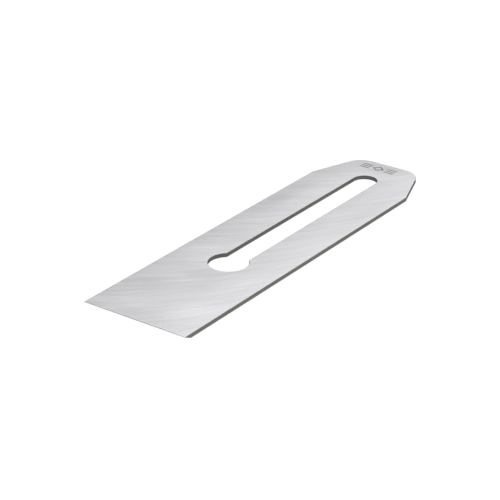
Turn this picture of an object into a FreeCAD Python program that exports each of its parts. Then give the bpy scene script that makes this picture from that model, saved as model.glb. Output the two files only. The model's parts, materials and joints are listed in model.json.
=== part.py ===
"""Plane iron: the flat steel cutter of a bench plane, with a keyhole slot for its cap iron's screw.

It lies on its bed face. X runs across the width, Y from the cutting edge up to the top end, and Z is up.
The origin is the middle of the blade's outline, on the bed face. Lengths are in millimetres.
"""

import FreeCAD, Part
import math
import os
import Sketcher

PARTS_FOLDER = "parts"
SKETCH_ORIGIN = (-1, 1)  # a sketch's own origin, as its geometry number and point number
START, END, CENTRE = 1, 2, 3  # the point numbers of a line or an arc
TOUCH = 1e-4  # a point this near to a plane lies on it

DIMENSIONS = {
    # the blank
    "blade_width": 50.8,
    "blade_length": 190.5,
    "blade_thick": 2.0,
    "edge_break": 0.1,
    # the clipped corners of the top end
    "clip_width": 9.5,
    "clip_length": 26.9,
    "crown_radius": 10.0,
    "shoulder_radius": 1.0,
    # the keyhole slot, with both places measured up from the cutting edge
    "hole_radius": 8.75,
    "hole_place": 62.8,
    "slot_width": 11.5,
    "slot_end_place": 169.0,
    "junction_radius": 0.5,
    # the bevel, and the narrow blunt land that grinding leaves along the cutting edge
    "bevel_angle": 25.0,
    "edge_land": 0.2,
    # the etched ornament, a lozenge between two stacks of three bars
    "mark_offset": -2.2,
    "mark_place": 184.3,
    "mark_depth": 0.1,
    "mark_stroke": 0.6,
    "lozenge_width": 6.0,
    "lozenge_height": 5.0,
    "bar_length": 5.0,
    "bar_spacing": 1.8,
    "bar_gap": 1.0,
}

# Formulas shared by the sketches. Those that end in _Y are heights above the middle of the blade.
EDGE_Y = "-dim.blade_length / 2"
HOLE_Y = "dim.hole_place - dim.blade_length / 2"
SLOT_END_Y = "dim.slot_end_place - dim.blade_length / 2"
MARK_Y = "dim.mark_place - dim.blade_length / 2"
BEVEL_RISE = "(dim.blade_thick - dim.edge_land)"
BEVEL_RUN = f"({BEVEL_RISE} / tan(dim.bevel_angle))"


def make_dimensions(doc):
    """The spreadsheet dim, with one named cell for each driving dimension."""
    sheet = doc.addObject("Spreadsheet::Sheet", "dim")
    for row, (alias, value) in enumerate(DIMENSIONS.items(), 1):
        sheet.set(f"A{row}", alias)
        sheet.set(f"B{row}", str(value))
        sheet.setAlias(f"B{row}", alias)
    doc.recompute()
    return sheet


def new_sketch(body, name, plane="XY_Plane", height=None):
    """An empty sketch on one of the body's own origin planes, or at the height that a formula gives."""
    sketch = body.newObject("Sketcher::SketchObject", name)
    support = next(item for item in body.Origin.OriginFeatures if item.Role == plane)
    sketch.AttachmentSupport = (support, "")
    sketch.MapMode = "FlatFace"
    if height:
        sketch.setExpression("AttachmentOffset.Base.z", height)
    return sketch


def constrain(sketch, kind, points, formula):
    """A dimension of a sketch, bound to a formula."""
    value = sketch.evalExpression(formula)
    number = sketch.addConstraint(Sketcher.Constraint(kind, *points, value))
    sketch.setExpression(f"Constraints[{number}]", formula)


def place_point(sketch, point, place):
    """Hold a point at the two formulas of a place, measured from the sketch's origin."""
    for kind, formula in zip(("DistanceX", "DistanceY"), place):
        constrain(sketch, kind, (*SKETCH_ORIGIN, *point), formula)


def add_polygon(sketch, corners):
    """A closed run of straight lines through corners, each of them a pair of formulas."""
    places = [FreeCAD.Vector(*map(sketch.evalExpression, corner), 0) for corner in corners]
    nexts = places[1:] + places[:1]
    lines = [sketch.addGeometry(Part.LineSegment(*ends)) for ends in zip(places, nexts)]
    for line, following, corner in zip(lines, lines[1:] + lines[:1], corners):
        sketch.addConstraint(Sketcher.Constraint("Coincident", line, END, following, START))
        place_point(sketch, (line, START), corner)


def cut(body, name, sketch, depth=None):
    """Take a sketch's shape out of the body, down to the formula in depth or else right through."""
    pocket = body.newObject("PartDesign::Pocket", name)
    pocket.Profile = sketch
    if depth:
        pocket.setExpression("Length", depth)
    else:
        pocket.Type = "ThroughAll"
        pocket.SideType = "Symmetric"


def dress(body, kind, name, size, dimension, wanted):
    """A Fillet or Chamfer on the edges whose two end points pass the test in wanted."""
    base = body.Tip
    names = [
        f"Edge{number}"
        for number, edge in enumerate(base.Shape.Edges, 1)
        if len(edge.Vertexes) == 2 and wanted(*(vertex.Point for vertex in edge.Vertexes))
    ]
    feature = body.newObject(f"PartDesign::{kind}", name)
    feature.Base = (base, names)
    feature.setExpression(size, dimension)
    body.Document.recompute()


def upright_at(x, y):
    """A test for the edges that run straight up through the points (x, y) and (-x, y)."""

    def wanted(first, second):
        upright = math.dist((first.x, first.y), (second.x, second.y)) < TOUCH
        return upright and math.dist((abs(first.x), first.y), (x, y)) < TOUCH

    return wanted


def add_blank(body, sheet):
    """The plate with its clipped and rounded top corners."""
    sketch = new_sketch(body, "outline")
    side_x, top_y = "dim.blade_width / 2", "dim.blade_length / 2"
    crown_x, shoulder_y = f"{side_x} - dim.clip_width", f"{top_y} - dim.clip_length"
    right = [(side_x, EDGE_Y), (side_x, shoulder_y), (crown_x, top_y)]
    left = [(f"-({x})", y) for x, y in reversed(right)]
    add_polygon(sketch, right + left)
    pad = body.newObject("PartDesign::Pad", "blank")
    pad.Profile = sketch
    pad.setExpression("Length", "dim.blade_thick")
    body.Document.recompute()
    crown = upright_at(*map(sheet.evalExpression, (crown_x, top_y)))
    dress(body, "Fillet", "crown_rounding", "Radius", "dim.crown_radius", crown)
    shoulder = upright_at(*map(sheet.evalExpression, (side_x, shoulder_y)))
    dress(body, "Fillet", "shoulder_rounding", "Radius", "dim.shoulder_radius", shoulder)


def add_keyhole(body, sheet):
    """The round hole that the cap iron's screw head passes, and the slot that its shank slides in."""
    hole = new_sketch(body, "hole_outline")
    centre = FreeCAD.Vector(0, sheet.evalExpression(HOLE_Y), 0)
    circle = hole.addGeometry(Part.Circle(centre, FreeCAD.Vector(0, 0, 1), sheet.hole_radius))
    place_point(hole, (circle, CENTRE), ("0", HOLE_Y))
    constrain(hole, "Radius", (circle,), "dim.hole_radius")
    cut(body, "hole", hole)

    slot = new_sketch(body, "slot_outline")
    radius = sheet.slot_width / 2
    low_y, high_y = centre.y, sheet.evalExpression(SLOT_END_Y)
    arcs = []
    for y, first_angle in ((low_y, math.pi), (high_y, 0)):
        round_end = Part.Circle(FreeCAD.Vector(0, y, 0), FreeCAD.Vector(0, 0, 1), radius)
        arcs.append(slot.addGeometry(Part.ArcOfCircle(round_end, first_angle, first_angle + math.pi)))
    low, high = arcs
    for x, y, arc, other in ((radius, low_y, low, high), (-radius, high_y, high, low)):
        wall = Part.LineSegment(FreeCAD.Vector(x, y, 0), FreeCAD.Vector(x, low_y + high_y - y, 0))
        line = slot.addGeometry(wall)
        slot.addConstraint(Sketcher.Constraint("Tangent", arc, END, line, START))
        slot.addConstraint(Sketcher.Constraint("Tangent", line, END, other, START))
    place_point(slot, (low, CENTRE), ("0", HOLE_Y))
    place_point(slot, (high, CENTRE), ("0", SLOT_END_Y))
    slot.addConstraint(Sketcher.Constraint("Equal", low, high))
    constrain(slot, "Radius", (high,), "dim.slot_width / 2")
    cut(body, "slot", slot)
    body.Document.recompute()

    junction_y = low_y + math.sqrt(sheet.hole_radius**2 - radius**2)
    junction = upright_at(radius, junction_y)
    dress(body, "Fillet", "junction_rounding", "Radius", "dim.junction_radius", junction)


def break_edges(body, sheet):
    """Small chamfers round the outline and the keyhole, on both faces, but not at the cutting edge."""
    edge_y = sheet.evalExpression(EDGE_Y)

    def wanted(first, second):
        on_face = any(
            abs(first.z - z) < TOUCH and abs(second.z - z) < TOUCH for z in (0, sheet.blade_thick)
        )
        at_cutting_edge = abs(first.y - edge_y) < TOUCH and abs(second.y - edge_y) < TOUCH
        return on_face and not at_cutting_edge

    dress(body, "Chamfer", "edge_breaks", "Size", "dim.edge_break", wanted)


def add_bevel(body):
    """The ground bevel, on the bed side of the cutting edge."""
    sketch = new_sketch(body, "bevel_outline", "YZ_Plane")
    add_polygon(sketch, [(EDGE_Y, "0"), (f"{EDGE_Y} + {BEVEL_RUN}", "0"), (EDGE_Y, BEVEL_RISE)])
    cut(body, "bevel", sketch)


def add_mark(body):
    """The shallow ornament near the top end: an outlined lozenge between two stacks of bars."""
    sketch = new_sketch(body, "mark_outline", height="dim.blade_thick")
    slant = "sqrt(dim.lozenge_width^2 + dim.lozenge_height^2)"
    inset = f"(1 - 2 * dim.mark_stroke * {slant} / (dim.lozenge_width * dim.lozenge_height))"
    for scale in ("1", inset):
        reach_x, reach_y = (f"{scale} * dim.lozenge_{size} / 2" for size in ("width", "height"))
        tips = ((f"-{reach_x}", "0"), ("0", f"-{reach_y}"), (reach_x, "0"), ("0", reach_y))
        add_polygon(sketch, [(f"dim.mark_offset + {x}", f"{MARK_Y} + {y}") for x, y in tips])
    near = "(dim.lozenge_width / 2 + dim.bar_gap)"
    far = f"({near} + dim.bar_length)"
    for side in ("+", "-"):
        for row in ("(-1)", "0", "1"):
            middle = f"{MARK_Y} + {row} * dim.bar_spacing"
            low, high = (f"{middle} {way} dim.mark_stroke / 2" for way in ("-", "+"))
            bar = [(near, low), (far, low), (far, high), (near, high)]
            add_polygon(sketch, [(f"dim.mark_offset {side} {x}", y) for x, y in bar])
    cut(body, "mark", sketch, "dim.mark_depth")


def build_plane_iron(doc, sheet):
    """The whole cutter, in the order in which one is made."""
    body = doc.addObject("PartDesign::Body", "plane_iron")
    body.Label = "plane_iron"
    body.Placement = FreeCAD.Placement()
    add_blank(body, sheet)
    add_keyhole(body, sheet)
    break_edges(body, sheet)
    add_bevel(body)
    add_mark(body)
    doc.recompute()
    return body


def check(doc, bodies):
    """Stop if anything failed, if a cut took nothing away, or if a sub-part isn't one valid solid."""
    for item in doc.Objects:
        if {"Invalid", "Error"} & set(item.State):
            raise RuntimeError(f"{item.Label} failed: {item.State}")
        if item.TypeId == "Sketcher::SketchObject" and not item.FullyConstrained:
            raise RuntimeError(f"{item.Label} isn't fully constrained")
        takes_away = item.TypeId in ("PartDesign::Pocket", "PartDesign::Chamfer", "PartDesign::Fillet")
        if takes_away and item.Shape.Volume > item.BaseFeature.Shape.Volume - TOUCH:
            raise RuntimeError(f"{item.Label} takes nothing away")
    for body in bodies:
        if body.Shape.isNull() or not body.Shape.isValid() or len(body.Shape.Solids) != 1:
            raise RuntimeError(f"{body.Label} isn't one valid solid")


def main():
    doc = FreeCAD.newDocument("plane_iron")
    sheet = make_dimensions(doc)
    bodies = [build_plane_iron(doc, sheet)]
    check(doc, bodies)
    os.makedirs(PARTS_FOLDER, exist_ok=True)
    for body in bodies:
        body.Shape.exportStep(os.path.join(PARTS_FOLDER, f"{body.Label}.step"))
        box = body.Shape.BoundBox
        size = f"{box.XLength:.2f} x {box.YLength:.2f} x {box.ZLength:.2f} mm"
        print(f"{body.Label}: {size}, {body.Shape.Volume:.0f} mm3, {len(body.Shape.Faces)} faces")


main()
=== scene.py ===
"""Plane iron: the looks of a bench plane's steel cutter, lying flat on a pale studio floor.

The blade's size and place and its keyhole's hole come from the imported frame. One fine mesh shows it, with
rounded edge breaks, slightly crowned faces, a ground bevel and an etched ornament. Five procedural steels
cover it: ground faces with long arc-shaped grinding lines, the bevel, the dark walls outside the blade and
in its keyhole, and the etched strokes. Lengths are in metres, and in millimetres inside the materials.
"""

import json
import math

import bmesh
import bpy
import numpy as np
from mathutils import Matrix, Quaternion, Vector
from mathutils.geometry import delaunay_2d_cdt


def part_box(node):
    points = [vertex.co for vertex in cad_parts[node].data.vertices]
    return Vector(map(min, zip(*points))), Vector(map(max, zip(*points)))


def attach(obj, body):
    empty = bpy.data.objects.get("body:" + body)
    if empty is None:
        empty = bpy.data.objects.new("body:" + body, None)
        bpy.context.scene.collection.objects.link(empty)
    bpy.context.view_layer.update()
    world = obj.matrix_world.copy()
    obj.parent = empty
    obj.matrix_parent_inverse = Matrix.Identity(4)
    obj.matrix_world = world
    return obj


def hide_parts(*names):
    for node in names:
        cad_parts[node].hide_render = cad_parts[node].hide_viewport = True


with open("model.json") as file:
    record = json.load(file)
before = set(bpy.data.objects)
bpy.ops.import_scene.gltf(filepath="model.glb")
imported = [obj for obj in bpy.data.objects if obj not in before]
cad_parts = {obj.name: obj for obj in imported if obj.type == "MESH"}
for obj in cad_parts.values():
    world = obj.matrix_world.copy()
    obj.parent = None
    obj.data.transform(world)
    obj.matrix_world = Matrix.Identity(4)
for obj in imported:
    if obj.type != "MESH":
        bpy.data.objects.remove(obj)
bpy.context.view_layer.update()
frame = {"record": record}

NODE = "plane_iron"
PIECE = "ground_blade"
MM = 0.001

# Sizes of the blade that the frame gives
low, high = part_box(NODE)
HALF_WIDTH = (high.x - low.x) / 2
HALF_LENGTH = (high.y - low.y) / 2
THICK = high.z - low.z
keyhole = next(mount for mount in frame["record"]["mounts"] if mount["name"] == "keyhole")
HOLE_CENTRE = Vector(keyhole["pos_m"][:2])
HOLE_RADIUS = keyhole["dims"]["r_mm"] * MM

# Sizes of the blade's own design
CLIP_WIDTH, CLIP_LENGTH = 9.5 * MM, 26.9 * MM
CROWN_RADIUS = 10 * MM
SHOULDER_RADIUS = 1 * MM
SLOT_HALF = 5.75 * MM
SLOT_END = Vector((0, 169 * MM - HALF_LENGTH))
JUNCTION_RADIUS = 0.5 * MM
EDGE_BREAK = 0.1 * MM
EDGE_LAND = 0.2 * MM
BEVEL_SLOPE = math.tan(math.radians(25))
BEVEL_RUN = (THICK - EDGE_LAND) / BEVEL_SLOPE
MARK_CENTRE = Vector((-2.2 * MM, 184.3 * MM - HALF_LENGTH))
MARK_DEPTH, MARK_STROKE = 0.1 * MM, 0.6 * MM
LOZENGE_HALF = Vector((3 * MM, 2.5 * MM))
BAR_LENGTH, BAR_SPACING, BAR_GAP = 5 * MM, 1.8 * MM, 1 * MM

# How finely the mesh is cut, which of its edges are sharp, and how the faces fall away towards the rims
ARC_STEP = math.radians(4)
BREAK_STEPS = 3
GRID = 1.6 * MM
MERGE = 1e-7
SHARP = math.radians(50)
CROWN_DEPTH, CROWN_REACH = 0.065 * MM, 5 * MM
BREAK_FADE = 1 * MM

# Material numbers of the blade's mesh
GROUND, BEVEL, EDGE, PUNCHED, ETCHED = range(5)


# ---- The blade's outlines, each of them the same points at any inset from the blade's real edge ----


def arc(centre, radius, start, end):
    """Points along an arc from the angle start to the angle end, both of them included."""
    count = max(3, math.ceil(abs(end - start) / ARC_STEP))
    angles = [start + (end - start) * n / count for n in range(count + 1)]
    return [centre + radius * Vector((math.cos(a), math.sin(a))) for a in angles]


def rounded_corner(corner, radius, inset, before, after):
    """The arc that rounds a corner between two sides, whose outward normals have the given angles."""
    middle, half_turn = (before + after) / 2, (after - before) / 2
    towards = Vector((math.cos(middle), math.sin(middle)))
    return arc(corner - towards * radius / math.cos(half_turn), radius - inset, before, after)


def mirrored(points):
    """The points mirrored from right to left and taken backwards, to go on round an outline."""
    return [Vector((-p.x, p.y)) for p in reversed(points)]


def with_steps(corners, nominal):
    """The corners with more points between them, where the nominal outline's sides are long."""
    points = []
    for n, corner in enumerate(corners):
        following = (n + 1) % len(corners)
        count = max(1, math.ceil((nominal[following] - nominal[n]).length / GRID))
        points += [corner.lerp(corners[following], k / count) for k in range(count)]
    return points


def blade_corners(inset):
    """The blade's outline, anticlockwise from the cutting edge's right end, where there is no inset."""
    clip_normal = math.atan2(CLIP_WIDTH, CLIP_LENGTH)
    shoulder = Vector((HALF_WIDTH, HALF_LENGTH - CLIP_LENGTH))
    crown = Vector((HALF_WIDTH - CLIP_WIDTH, HALF_LENGTH))
    from_tip = (0, BREAK_FADE, BEVEL_RUN - EDGE_BREAK / BEVEL_SLOPE, BEVEL_RUN)
    right = [
        Vector((HALF_WIDTH - inset * min(1, place / BREAK_FADE), place - HALF_LENGTH))
        for place in from_tip
    ]
    right += rounded_corner(shoulder, SHOULDER_RADIUS, inset, 0, clip_normal)
    right += rounded_corner(crown, CROWN_RADIUS, inset, clip_normal, math.pi / 2)
    return right + mirrored(right)


def keyhole_corners(inset):
    """The keyhole's outline, clockwise from the top of its slot's right wall."""
    junction_x = SLOT_HALF + JUNCTION_RADIUS
    junction_rise = math.sqrt((HOLE_RADIUS + JUNCTION_RADIUS) ** 2 - junction_x**2)
    junction = HOLE_CENTRE + Vector((junction_x, junction_rise))
    turn = math.atan2(junction_rise, junction_x)
    right = arc(junction, JUNCTION_RADIUS - inset, math.pi, math.pi + turn)
    right += arc(HOLE_CENTRE, HOLE_RADIUS + inset, turn, -math.pi / 2)[:-1]
    bottom = [HOLE_CENTRE - Vector((0, HOLE_RADIUS + inset))]
    slot_end = arc(SLOT_END, SLOT_HALF + inset, math.pi, 0)
    return slot_end[-1:] + right + bottom + mirrored(right) + slot_end[:-1]


def outline(corners_at, inset):
    return with_steps(corners_at(inset), corners_at(0))


def mark_shapes():
    """The ornament's strokes, each of them an outer outline and the outline of what it leaves standing."""
    slant = LOZENGE_HALF.length * MARK_STROKE / (LOZENGE_HALF.x * LOZENGE_HALF.y)
    tips = [Vector((1, 0)), Vector((0, 1)), Vector((-1, 0)), Vector((0, -1))]
    lozenge = [[MARK_CENTRE + tip * LOZENGE_HALF * scale for tip in tips] for scale in (1, 1 - slant)]
    shapes = [lozenge]
    near = LOZENGE_HALF.x + BAR_GAP
    for side in (-1, 1):
        for row in (-1, 0, 1):
            start = MARK_CENTRE + Vector((side * near, row * BAR_SPACING - MARK_STROKE / 2))
            along, up = Vector((side * BAR_LENGTH, 0)), Vector((0, MARK_STROKE))
            shapes.append([[start, start + along, start + along + up, start + up]])
    return shapes


# ---- Places and outlines in the plane -------------------------------------------------------------


def segments(points):
    """The closed outline's sides as two arrays, of their starts and of their ends."""
    starts = np.array([tuple(p) for p in points])
    return starts, np.roll(starts, -1, axis=0)


def inside(points, places):
    """Whether each of the places is inside the outline, by the even-odd rule."""
    starts, ends = segments(points)
    x, y = places[:, :1], places[:, 1:]
    crosses = (starts[:, 1] > y) != (ends[:, 1] > y)
    rise = np.where(crosses, ends[:, 1] - starts[:, 1], 1)
    crossing_x = starts[:, 0] + (y - starts[:, 1]) * (ends[:, 0] - starts[:, 0]) / rise
    return (crosses & (x < crossing_x)).sum(axis=1) % 2 == 1


def distance(points, places, closed=True):
    """How far each of the places is from the outline's nearest side."""
    starts, ends = segments(points)
    if not closed:
        starts, ends = starts[:-1], ends[:-1]
    sides = ends - starts
    offsets = places[:, None] - starts
    share = (offsets * sides).sum(-1) / np.maximum((sides**2).sum(-1), MERGE**2)
    nearest = sides * np.clip(share, 0, 1)[..., None]
    return np.sqrt(((offsets - nearest) ** 2).sum(-1)).min(axis=1)


def grid_places(outer, inner):
    """Evenly staggered points inside the face, clear of its outlines."""
    rows = math.ceil(2 * HALF_LENGTH / GRID)
    columns = math.ceil(2 * HALF_WIDTH / GRID)
    places = np.array(
        [
            ((column + row % 2 / 2 - columns / 2) * GRID, (row - rows / 2) * GRID)
            for row in range(rows + 1)
            for column in range(columns + 1)
        ]
    )
    places = places[inside(outer, places) & ~inside(inner, places)]
    clear = np.minimum(distance(outer, places), distance(inner, places)) > GRID / 2
    return places[clear]


def face_triangles(outer, inner, loops=(), lines=()):
    """Triangles between two outlines that follow every loop and line, with their points and middles."""
    points, edges = [], []
    for loop in (outer, inner, *loops):
        first, count = len(points), len(loop)
        points += loop
        edges += [(first + n, first + (n + 1) % count) for n in range(count)]
    for line in lines:
        edges += [(n, n + 1) for n in range(len(points), len(points) + len(line) - 1)]
        points += line
    kept = grid_places(outer, inner)
    for loop in loops:
        kept = kept[distance(loop, kept) > GRID / 2]
    for line in lines:
        kept = kept[distance(line, kept, closed=False) > GRID / 2]
    points += [Vector(place) for place in kept]
    made, _, triangles, *_ = delaunay_2d_cdt(points, edges, [], 0, MERGE)
    flat = np.array([tuple(p) for p in made])
    middles = flat[np.array(triangles)].mean(axis=1)
    wanted = inside(outer, middles) & ~inside(inner, middles)
    return made, [t for t, want in zip(triangles, wanted) if want], middles[wanted]


# ---- Building the mesh ----------------------------------------------------------------------------


def add_face(mesh, corners, finish):
    mesh.faces.new(corners).material_index = finish


def break_profile():
    """Insets and heights up the blade's rim, from the bed face round two rounded breaks to the top face."""
    turns = [math.pi / 2 * n / BREAK_STEPS for n in range(BREAK_STEPS + 1)]
    lower = [(EDGE_BREAK * (1 - math.sin(a)), EDGE_BREAK * (1 - math.cos(a))) for a in turns]
    return lower + [(inset, THICK - height) for inset, height in reversed(lower)]


def add_walls(mesh, corners_at, finish):
    """The rings of quads that run up the rim outside the blade or in its keyhole."""
    rings = [
        [mesh.verts.new((*point, height)) for point in outline(corners_at, inset)]
        for inset, height in break_profile()
    ]
    for below, above in zip(rings, rings[1:]):
        for n in range(len(below)):
            following = (n + 1) % len(below)
            add_face(mesh, (below[n], below[following], above[following], above[n]), finish)


def face_outlines():
    """The outer and the inner outline of the flat part of the bed face and of the top face."""
    return outline(blade_corners, EDGE_BREAK), outline(keyhole_corners, EDGE_BREAK)


def add_bed_face(mesh):
    """The bed face and, below its heel line, the bevel, which crown_and_bevel tilts."""
    outer, inner = face_outlines()
    heel_y = BEVEL_RUN - HALF_LENGTH
    right, left = (p for p in outer if abs(p.y - heel_y) < MERGE)
    count = math.ceil(2 * HALF_WIDTH / GRID)
    heel = [right.lerp(left, n / count) for n in range(count + 1)]
    points, triangles, middles = face_triangles(outer, inner, lines=[heel])
    verts = [mesh.verts.new((*point, 0)) for point in points]
    for triangle, middle in zip(triangles, middles):
        finish = BEVEL if middle[1] < heel_y else GROUND
        add_face(mesh, [verts[n] for n in reversed(triangle)], finish)


def in_strokes(shapes, places):
    """Whether each of the places is in a stroke of the ornament."""
    found = np.zeros(len(places), bool)
    for first, *islands in shapes:
        stroke = inside(first, places)
        for island in islands:
            stroke &= ~inside(island, places)
        found |= stroke
    return found


def add_top_face(mesh):
    """The flat top face, with the ornament's strokes let into it."""
    shapes = mark_shapes()
    loops = [loop for shape in shapes for loop in shape]
    points, triangles, middles = face_triangles(*face_outlines(), loops=loops)
    sunk = in_strokes(shapes, middles)
    etched = [triangle for triangle, is_sunk in zip(triangles, sunk) if is_sunk]
    upper = [mesh.verts.new((*point, THICK)) for point in points]
    sunk_points = sorted({n for triangle in etched for n in triangle})
    lower = {n: mesh.verts.new((*points[n], THICK - MARK_DEPTH)) for n in sunk_points}
    for triangle, is_sunk in zip(triangles, sunk):
        if not is_sunk:
            add_face(mesh, [upper[n] for n in triangle], GROUND)
    for triangle in etched:
        add_face(mesh, [lower[n] for n in triangle], ETCHED)
    sides = {side for triangle in etched for side in zip(triangle, triangle[1:] + triangle[:1])}
    for a, b in sorted(sides):
        if (b, a) not in sides:
            add_face(mesh, (lower[a], lower[b], upper[b], upper[a]), ETCHED)


def crown_and_bevel(mesh):
    """Thin the blade slightly towards its rims, then grind its bevel, so that no point is below it."""
    places = np.array([vert.co[:2] for vert in mesh.verts])
    # the outline's closing side is the cutting edge, which stays full
    from_sides = distance(blade_corners(0), places, closed=False)
    reach = np.minimum(from_sides, distance(keyhole_corners(0), places))
    drop = CROWN_DEPTH * np.exp(-reach / CROWN_REACH)
    for vert, (_, y), fall in zip(mesh.verts, places, drop):
        vert.co.z = THICK / 2 + (vert.co.z - THICK / 2) * (1 - 2 * fall / THICK)
        vert.co.z = max(vert.co.z, THICK - EDGE_LAND - (y + HALF_LENGTH) * BEVEL_SLOPE)


def weld(mesh):
    """Join the faces and rims where they meet, and drop the points that no face uses."""
    bmesh.ops.remove_doubles(mesh, verts=mesh.verts, dist=MERGE)
    bmesh.ops.dissolve_degenerate(mesh, edges=mesh.edges, dist=MERGE)
    loose = [vert for vert in mesh.verts if not vert.link_faces]
    bmesh.ops.delete(mesh, geom=loose, context="VERTS")
    bmesh.ops.recalc_face_normals(mesh, faces=mesh.faces)


def shade_smooth(mesh):
    """Smooth shading within a finish, and a sharp edge at a steep turn or between two finishes."""
    for face in mesh.faces:
        face.smooth = True
    for edge in mesh.edges:
        numbers = {face.material_index for face in edge.link_faces}
        edge.smooth = len(numbers) == 1 and edge.calc_face_angle(0) < SHARP


def build_blade():
    mesh = bmesh.new()
    add_walls(mesh, blade_corners, EDGE)
    add_walls(mesh, keyhole_corners, PUNCHED)
    add_bed_face(mesh)
    add_top_face(mesh)
    crown_and_bevel(mesh)
    weld(mesh)
    shade_smooth(mesh)
    data = bpy.data.meshes.new(PIECE)
    mesh.to_mesh(data)
    mesh.free()
    made = bpy.data.objects.new(PIECE, data)
    bpy.context.scene.collection.objects.link(made)
    normals = made.modifiers.new("flat_faces", "WEIGHTED_NORMAL")
    normals.keep_sharp = True
    return made


# ---- Materials ------------------------------------------------------------------------------------

# The radius of the grinding arcs and the place of their middles across the blade, how many times longer
# than wide a grinding line is, and how far apart in the noise the top and the bed face are
ARC_CENTRE_X, ARC_RADIUS = -120, 164
LINE_STRETCH = 18
FACES_APART = 10

# Where along the blade the grinding lines start to fade and stop fading, and their strength at each
FADE_START, FADE_END = -50, 60
LINES_STRONG, LINES_FAINT = 1.1, 0.6

# Soft-edged patches: place x and y, turn in degrees, half its length and width, and the change of tone.
# First the patches of the ground faces, partly where the wheel polished them more or less and partly painted
# sheen and dull reflection of the studio light
POLISH_AND_SHEEN_PATCHES = (
    (-16, -67, 45, 16, 9, -0.25),
    (-2, -48, 35, 13, 8, -0.20),
    (0, -92, 0, 20, 8, -0.17),
    (15, -75, 60, 20, 12, 0.27),
    (14, -45, 75, 20, 10, 0.18),
    (-18, -27, 70, 18, 9, 0.13),
    (21, 42, 90, 40, 8, -0.17),
    (-21, 38, 90, 36, 7, -0.24),
    (-10, 42, 90, 34, 7, 0.11),
    (10, 62, 90, 16, 6, 0.05),
    (-2, 90, 0, 16, 9, -0.3),
)
POLISH_AND_SHEEN_HEIGHT, POLISH_AND_SHEEN_HALF_HEIGHT = THICK / MM, 1
# Then the patches of the keyhole's wall: painted shade on the slot's end and the hole's far wall, painted
# light on the right junction and along the slot's left wall
KEYHOLE_SHADE_AND_LIGHT_PATCHES = (
    (0, 81, 0, 10, 10, -0.26),
    (-8, -28, 0, 8, 7, -0.28),
    (7, -27, 0, 4, 4, 0.6),
    (-5.75, 45, 90, 25, 5, 0.1),
)
KEYHOLE_PATCH_HEIGHT, KEYHOLE_PATCH_HALF_HEIGHT = THICK / MM / 2, 10

# How much darker the cutting edge's blunt land is than the other walls, and where behind the cutting edge
# that starts to fade and stops fading
LAND_TONE = -0.6
LAND_FROM, LAND_TO = 0.02, 0.05
# The rubbed line along the walls' rims, as distances from half the thickness
RUBBED_FROM, RUBBED_TO = 0.88, 0.98
# A line's width over its length, up a dark wall and along the bevel's slope
WALL_LINE_RATIO, BEVEL_LINE_RATIO = 0.12, 0.03

# Widths of the ground faces' lines, and the noise's values between which a line turns into a scratch
FINE, MIDDLING, BROAD, SCRATCH = 0.3, 1.1, 5, 0.16
SCRATCH_FROM, SCRATCH_TO = 0.62, 0.8
# Widths of the bevel's lines and of a dark wall's, and sizes of the specks and stains
BEVEL_FINE, BEVEL_COARSE = 0.25, 1.2
DRAG, SPECK, STAIN, ETCHED_SPECK = 0.3, 0.18, 9, 0.12
# The noise node's own values, nearly all of them
NOISE_LEAST, NOISE_MOST = 0.2, 0.8
NOISE_ROUGHNESS = 0.55

# How much of their pattern the outer walls and the keyhole's wall have
EDGE_CONTRAST, PUNCHED_CONTRAST = 0.65, 1

# Each finish's least and most roughness, and the depth of its relief
GROUND_ROUGHNESS, BEVEL_ROUGHNESS = (0.17, 0.27), (0.22, 0.36)
WALL_ROUGHNESS, ETCHED_ROUGHNESS = (0.42, 0.6), (0.55, 0.7)
GRIND_DEPTH, WALL_DEPTH, ETCHED_DEPTH = 0.008 * MM, 0.02 * MM, 0.01 * MM

# Each finish's darkest and lightest colour, and the share of the lightest where its patterns are at zero
GROUND_COLOURS = (0.474, 0.474, 0.485), (0.718, 0.718, 0.734)
BEVEL_COLOURS = (0.55, 0.55, 0.56), (0.8, 0.8, 0.81)
EDGE_COLOURS = (0.10, 0.095, 0.088), (0.343, 0.325, 0.301)
# the keyhole's wall colours are darker than the outer walls' as painted shade inside the keyhole
PUNCHED_SHADED_COLOURS = (0.085, 0.081, 0.076), (0.285, 0.271, 0.252)
ETCHED_COLOURS = (0.13, 0.13, 0.132), (0.27, 0.27, 0.27)
WALL_TINT = (0.25, 0.25, 0.25, 1)
MIDDLE_TONE = 0.5


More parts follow.
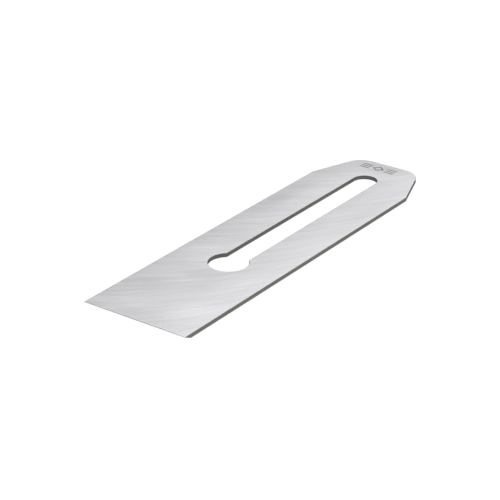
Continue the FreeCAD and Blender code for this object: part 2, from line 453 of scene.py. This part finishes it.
class Graph:
    """One node tree. Its methods add a node each and return the output that the next one reads."""

    def __init__(self, tree):
        self.tree = tree

    def node(self, kind, inputs, **settings):
        made = self.tree.nodes.new(kind)
        for name, value in settings.items():
            setattr(made, name, value)
        for name, value in inputs.items():
            if isinstance(value, bpy.types.NodeSocket):
                self.tree.links.new(value, made.inputs[name])
            else:
                made.inputs[name].default_value = value
        return made

    def math(self, operation, *values):
        return self.node("ShaderNodeMath", dict(enumerate(values)), operation=operation).outputs[0]

    def times(self, value, factor):
        return self.math("MULTIPLY", value, factor)

    def total(self, *values):
        result = values[0]
        for value in values[1:]:
            result = self.math("ADD", result, value)
        return result

    def weighted(self, *pairs):
        """The total of the patterns, each of them times its weight."""
        return self.total(*(self.times(pattern, weight) for pattern, weight in pairs))

    def dot(self, a, b):
        made = self.node("ShaderNodeVectorMath", {0: a, 1: b}, operation="DOT_PRODUCT")
        return made.outputs["Value"]

    def vector(self, x, y, z):
        return self.node("ShaderNodeCombineXYZ", {"X": x, "Y": y, "Z": z}).outputs[0]

    def millimetres(self):
        """The place on the object as three numbers of millimetres."""
        place = self.node("ShaderNodeTexCoord", {}).outputs["Object"]
        scaled = self.node("ShaderNodeVectorMath", {0: place, "Scale": 1 / MM}, operation="SCALE")
        return self.node("ShaderNodeSeparateXYZ", {0: scaled.outputs[0]}).outputs

    def noise(self, place, size, detail=2.0):
        """Noise from -1 to 1, with patches of about the given size."""
        inputs = {"Vector": place, "Scale": 1 / size, "Detail": detail, "Roughness": NOISE_ROUGHNESS}
        made = self.node("ShaderNodeTexNoise", inputs)
        return self.ramp(made.outputs["Fac"], NOISE_LEAST, NOISE_MOST, -1, 1)

    def ramp(self, value, start, end, low, high, smooth=False):
        """Low up to the value start, high from the value end, and between them a ramp."""
        inputs = {"Value": value, "From Min": start, "From Max": end, "To Min": low, "To Max": high}
        shape = "SMOOTHSTEP" if smooth else "LINEAR"
        made = self.node("ShaderNodeMapRange", inputs, interpolation_type=shape, clamp=True)
        return made.outputs["Result"]

    def blend(self, share, colours):
        """The first colour where the share is 0, the second where it is 1."""
        made = self.node("ShaderNodeMix", {}, data_type="RGBA")
        sockets = {socket.identifier: socket for socket in made.inputs}
        self.tree.links.new(share, sockets["Factor_Float"])
        for name, colour in zip(("A_Color", "B_Color"), colours):
            sockets[name].default_value = (*colour, 1)
        return next(socket for socket in made.outputs if socket.identifier == "Result_Color")

    def bump(self, height, depth):
        inputs = {"Height": height, "Distance": depth}
        return self.node("ShaderNodeBump", inputs).outputs["Normal"]

    def soft_oval(self, place, patch, height, half_height):
        """A patch's change of tone: full in the middle of its oval, and less and less towards its rim."""
        x, y, turn, half_length, half_width, change = patch
        inputs = {
            "Vector": place,
            "Location": (x, y, height),
            "Rotation": (0, 0, math.radians(turn)),
            "Scale": (half_length, half_width, half_height),
        }
        oval = self.node("ShaderNodeMapping", inputs, vector_type="TEXTURE").outputs[0]
        away = self.node("ShaderNodeVectorMath", {0: oval}, operation="LENGTH").outputs["Value"]
        return self.ramp(away, 0, 1, change, 0, smooth=True)


def steel(name, make, **constants):
    """A metal whose base colour, roughness and relief come from the function make."""
    material = bpy.data.materials.new(name)
    material.use_nodes = True
    shader = material.node_tree.nodes["Principled BSDF"]
    for socket, value in constants.items():
        shader.inputs[socket.replace("_", " ")].default_value = value
    for socket, output in make(Graph(material.node_tree)).items():
        material.node_tree.links.new(output, shader.inputs[socket])
    return material


def grinding_arcs(graph):
    """Coordinates for lines along the grinding arcs, and the direction across the arcs.

    Every arc is one circle moved along the blade, so its direction depends only on the place's x.
    """
    x, y, z = graph.millimetres()
    sine = graph.math("DIVIDE", graph.math("SUBTRACT", x, ARC_CENTRE_X), ARC_RADIUS)
    turn = graph.math("ARCSINE", sine)
    cosine = graph.math("COSINE", turn)
    along = graph.times(turn, ARC_RADIUS / LINE_STRETCH)
    across = graph.math("MULTIPLY_ADD", cosine, ARC_RADIUS, y)
    apart = graph.times(z, FACES_APART)
    return graph.vector(along, across, apart), graph.vector(sine, graph.times(cosine, -1), 0)


def ground_face(graph):
    """A face ground on a wheel: long arcs of fine lines, duller and brighter patches that are partly painted
    sheen, a few scratches.
    """
    lines, sideways = grinding_arcs(graph)
    fine = graph.noise(lines, FINE)
    middling = graph.noise(lines, MIDDLING)
    broad = graph.noise(lines, BROAD)
    scratches = graph.ramp(graph.noise(lines, SCRATCH, detail=0), SCRATCH_FROM, SCRATCH_TO, 0, 1)
    streaks = graph.weighted((fine, 0.12), (middling, 0.15), (broad, 0.12), (scratches, 0.1))
    x, y, z = graph.millimetres()
    strength = graph.ramp(y, FADE_START, FADE_END, LINES_STRONG, LINES_FAINT)
    place = graph.vector(x, y, z)
    # the patches are partly polish and partly painted sheen and dull reflection
    patches = [graph.soft_oval(place, p, POLISH_AND_SHEEN_HEIGHT, POLISH_AND_SHEEN_HALF_HEIGHT) for p in POLISH_AND_SHEEN_PATCHES]
    share = graph.total(MIDDLE_TONE, graph.math("MULTIPLY", streaks, strength), *patches)
    return {
        "Base Color": graph.blend(share, GROUND_COLOURS),
        "Roughness": graph.ramp(graph.total(middling, broad), -1, 1, *GROUND_ROUGHNESS),
        "Normal": graph.bump(graph.weighted((middling, 0.6), (fine, 0.25)), GRIND_DEPTH),
        "Tangent": sideways,
    }


def dark_wall(graph, land_tone_and_painted_shade, contrast, colours):
    """An unpolished wall: lines up the blade's thickness, specks, stains, and rims rubbed lighter."""
    x, y, z = graph.millimetres()
    place = graph.vector(x, y, z)
    drags = graph.noise(graph.vector(x, y, graph.times(z, WALL_LINE_RATIO)), DRAG)
    specks = graph.noise(place, SPECK)
    stains = graph.noise(place, STAIN)
    from_middle = graph.math("ABSOLUTE", graph.math("SUBTRACT", z, THICK / MM / 2))
    rubbed = graph.ramp(from_middle, RUBBED_FROM, RUBBED_TO, 0, 1)
    worn = graph.math("MULTIPLY", rubbed, graph.ramp(stains, -1, 1, 0, 2))
    weights = ((drags, 0.25), (specks, 0.12), (stains, 0.15), (worn, 0.15))
    texture = graph.weighted(*((pattern, weight * contrast) for pattern, weight in weights))
    return {
        # the caller's tone change: the land's darkening on the outer walls, painted shade and light on the
        # keyhole's wall
        "Base Color": graph.blend(graph.total(MIDDLE_TONE, land_tone_and_painted_shade, texture), colours),
        "Roughness": graph.ramp(graph.total(drags, stains), -1, 1, *WALL_ROUGHNESS),
        "Normal": graph.bump(graph.total(drags, specks), WALL_DEPTH),
    }


def sheared_edge(graph):
    """The blade's own sides, darkest on the narrow land along the cutting edge."""
    y = graph.millimetres()["Y"]
    tip = -HALF_LENGTH / MM
    land = graph.ramp(y, tip + LAND_FROM, tip + LAND_TO, LAND_TONE, 0)
    return dark_wall(graph, land, EDGE_CONTRAST, EDGE_COLOURS)


def punched_edge(graph):
    """The keyhole's wall, with painted shade and painted light in a few places."""
    place = graph.vector(*graph.millimetres())
    # painted shade and painted light on the keyhole's wall
    patches = [graph.soft_oval(place, p, KEYHOLE_PATCH_HEIGHT, KEYHOLE_PATCH_HALF_HEIGHT) for p in KEYHOLE_SHADE_AND_LIGHT_PATCHES]
    return dark_wall(graph, graph.total(*patches), PUNCHED_CONTRAST, PUNCHED_SHADED_COLOURS)


def bevel_face(graph):
    """The bevel, ground straight across the cutting edge."""
    x, y, z = graph.millimetres()
    place = graph.vector(x, graph.times(y, BEVEL_LINE_RATIO), graph.times(z, BEVEL_LINE_RATIO))
    fine, coarse = graph.noise(place, BEVEL_FINE), graph.noise(place, BEVEL_COARSE)
    share = graph.total(MIDDLE_TONE, graph.weighted((fine, 0.2), (coarse, 0.2)))
    return {
        "Base Color": graph.blend(share, BEVEL_COLOURS),
        "Roughness": graph.ramp(coarse, -1, 1, *BEVEL_ROUGHNESS),
        "Normal": graph.bump(graph.total(fine, coarse), GRIND_DEPTH),
    }


def etched_face(graph):
    """The ornament's dull, speckled strokes."""
    specks = graph.noise(graph.vector(*graph.millimetres()), ETCHED_SPECK)
    return {
        "Base Color": graph.blend(graph.ramp(specks, -1, 1, 0, 1), ETCHED_COLOURS),
        "Roughness": graph.ramp(specks, -1, 1, *ETCHED_ROUGHNESS),
        "Normal": graph.bump(specks, ETCHED_DEPTH),
    }


blade = build_blade()
steels = {
    GROUND: steel("ground_steel", ground_face, Metallic=1, Anisotropic=0.6),
    BEVEL: steel("bevel_steel", bevel_face, Metallic=1, Anisotropic=0.4),
    EDGE: steel("sheared_steel", sheared_edge, Metallic=1, Specular_Tint=WALL_TINT),
    PUNCHED: steel("punched_steel", punched_edge, Metallic=1, Specular_Tint=WALL_TINT),
    ETCHED: steel("etched_steel", etched_face, Metallic=0.7),
}
for number in sorted(steels):
    blade.data.materials.append(steels[number])
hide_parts(NODE)
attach(blade, "root")


# ---- Studio ---------------------------------------------------------------------------------------

CAMERA_AZIMUTH, CAMERA_ELEVATION = math.radians(35.48), math.radians(25.67)
CAMERA_ROLL = math.radians(0.32)
CAMERA_DISTANCE = 0.772
CAMERA_LENS = 129.05
AIM_RIGHT, AIM_UP = -9.94 * MM, -5.39 * MM

FLOOR_SIZE, FLOOR_DROP = 8, 0.1 * MM
FLOOR_COLOUR = (0.12, 0.12, 0.12, 1)
FLOOR_GLOW = 0.92
WHITE = (1, 1, 1, 1)

# The lamp's tilt up from the horizontal, its strength, how gradually it turns into the dim card below it,
# and the closenesses to the view's own direction between which both fade in
LAMP_TILT = math.radians(61)
LAMP_STRENGTH, LAMP_SOFTNESS = 0.85, 0.13
LAMP_FADE_START, LAMP_FADE_END = 0.5, 0.9
# The room's light behind the camera, where it is 1 elsewhere, and the closeness from which it is that dim
BEHIND_STRENGTH, BEHIND_FADE_END = 0.74, 0.9


def from_angles(azimuth, elevation):
    """The direction that lies that far round and above the horizon, where azimuth 0 is towards -Y."""
    flat = math.cos(elevation)
    return Vector((math.sin(azimuth) * flat, -math.cos(azimuth) * flat, math.sin(elevation)))


def add_camera():
    back = from_angles(CAMERA_AZIMUTH, CAMERA_ELEVATION)
    turn = back.to_track_quat("Z", "Y") @ Quaternion((0, 0, 1), CAMERA_ROLL)
    aim = Vector((0, 0, THICK / 2)) + turn @ Vector((AIM_RIGHT, AIM_UP, 0))
    data = bpy.data.cameras.new("camera")
    data.lens = CAMERA_LENS
    camera = bpy.data.objects.new("camera", data)
    camera.rotation_euler = turn.to_euler()
    camera.location = aim + back * CAMERA_DISTANCE
    bpy.context.scene.collection.objects.link(camera)
    bpy.context.scene.camera = camera


def add_floor():
    half = FLOOR_SIZE / 2
    corners = [(-half, -half), (half, -half), (half, half), (-half, half)]
    data = bpy.data.meshes.new("floor")
    data.from_pydata([(x, y, -FLOOR_DROP) for x, y in corners], [], [(0, 1, 2, 3)])
    material = bpy.data.materials.new("pale_floor")
    material.use_nodes = True
    shader = material.node_tree.nodes["Principled BSDF"]
    shader.inputs["Base Color"].default_value = FLOOR_COLOUR
    shader.inputs["Roughness"].default_value = 1
    shader.inputs["Specular IOR Level"].default_value = 0
    shader.inputs["Emission Color"].default_value = WHITE
    shader.inputs["Emission Strength"].default_value = FLOOR_GLOW
    data.materials.append(material)
    floor = bpy.data.objects.new("floor", data)
    bpy.context.scene.collection.objects.link(floor)


def add_studio_light():
    """An even room of light, with a large soft lamp beyond the blade, high on the right, over a dim card."""
    world = bpy.data.worlds.new("studio")
    bpy.context.scene.world = world
    world.use_nodes = True
    graph = Graph(world.node_tree)
    across = from_angles(CAMERA_AZIMUTH + math.pi / 2, 0)
    beyond = from_angles(CAMERA_AZIMUTH + math.pi, CAMERA_ELEVATION)
    behind = from_angles(CAMERA_AZIMUTH, 0)
    to_lamp = across * math.cos(LAMP_TILT) + across.cross(beyond) * math.sin(LAMP_TILT)
    direction = graph.node("ShaderNodeTexCoord", {}).outputs["Generated"]
    lamp_or_card = graph.ramp(graph.dot(direction, to_lamp), -LAMP_SOFTNESS, LAMP_SOFTNESS, -1, 1)
    closeness = graph.dot(direction, beyond)
    near = graph.ramp(closeness, LAMP_FADE_START, LAMP_FADE_END, 0, LAMP_STRENGTH, smooth=True)
    room = graph.ramp(graph.dot(direction, behind), 0, BEHIND_FADE_END, 1, BEHIND_STRENGTH, smooth=True)
    strength = graph.math("MULTIPLY_ADD", lamp_or_card, near, room)
    background = world.node_tree.nodes["Background"]
    background.inputs["Color"].default_value = WHITE
    world.node_tree.links.new(strength, background.inputs["Strength"])


add_camera()
add_floor()
add_studio_light()
bpy.context.scene.view_settings.view_transform = "Standard"
